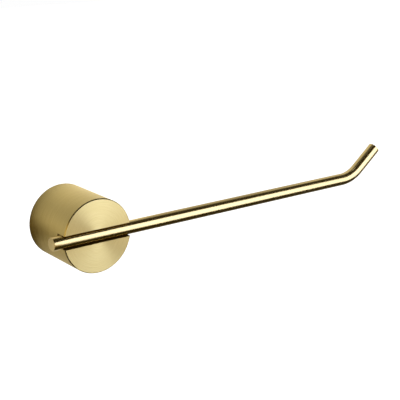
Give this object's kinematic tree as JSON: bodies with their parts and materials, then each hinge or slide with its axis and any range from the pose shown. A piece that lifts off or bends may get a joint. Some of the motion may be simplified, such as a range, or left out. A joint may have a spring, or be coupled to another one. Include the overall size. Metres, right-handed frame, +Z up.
{
  "type": "toilet paper holder",
  "caption": "Wall-mounted toilet paper holder: a short round post with a long round arm let into its face, turned up at the free end.",
  "frame": {"origin": "centre of the post's axis on the wall plane, at the back of the wall plate", "axes": "+Z up, +X along the arm towards its upturned end, +Y into the wall; the holder stands out along -Y"},
  "size_m": [0.2902, 0.0475, 0.05],
  "materials": {
    "gold_post": "stainless steel, turned and brushed round the post, gold vapour-deposited coat",
    "gold_arm": "stainless steel bar, ground and finely brushed round the bar, gold vapour-deposited coat",
    "plate_steel": "turned stainless steel, uncoated",
    "screw_steel": "plain stainless steel fasteners",
    "spring_steel": "dark spring steel"
  },
  "bodies": {
    "wall_plate": {"wall_plate": "plate_steel"},
    "post": {"post_body": "gold_post", "arm": "gold_arm", "arm_screw": "screw_steel", "arm_screw_flat_washer": "screw_steel", "arm_screw_split_washer": "spring_steel"},
    "set_screw": {"set_screw": "screw_steel"}
  },
  "joints": [
    {"name": "post_lift_off", "type": "slide", "parent": "wall_plate", "child": "post", "axis": [0, -1, 0], "range_m": [0, 0.012]},
    {"name": "set_screw_travel", "type": "slide", "parent": "post", "child": "set_screw", "axis": [0, 0, -1], "range_m": [0, 0.0021]}
  ]
}
